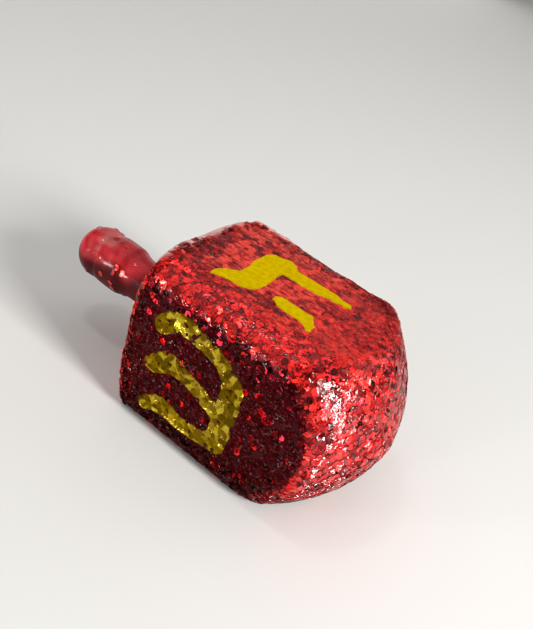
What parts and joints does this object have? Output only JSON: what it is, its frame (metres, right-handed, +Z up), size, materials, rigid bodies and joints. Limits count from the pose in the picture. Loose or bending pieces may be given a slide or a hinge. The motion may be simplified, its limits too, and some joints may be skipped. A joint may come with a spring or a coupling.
{
  "type": "dreidel",
  "caption": "Square wooden spinning top with a turned nose and knobbed handle, coated in red glitter, with a gold painted game mark on each side, lying on one side.",
  "frame": {"origin": "on the table under the middle of the whole toy's length", "axes": "+X along the spin axis from the handle to the nose, +Z up out of the side with the he mark, -Y out of the side with the shin mark"},
  "size_m": [0.0596, 0.026, 0.026],
  "materials": {
    "turned_wood": "turned, bare under the coats",
    "wood_glue": "set white glue",
    "red_glitter": "chunky metallic red flakes under a clear gloss sealer",
    "red_lacquer": "brushed gloss red paint with a few flakes",
    "gold_paint": "brushed metallic gold craft paint"
  },
  "bodies": {
    "root": {"body_block": "turned_wood", "handle_peg": "turned_wood", "glue_line": "wood_glue", "glitter_coat": "red_glitter", "handle_coat": "red_lacquer", "nun_mark": "gold_paint", "gimel_mark": "gold_paint", "he_mark": "gold_paint", "shin_mark": "gold_paint"}
  },
  "joints": []
}
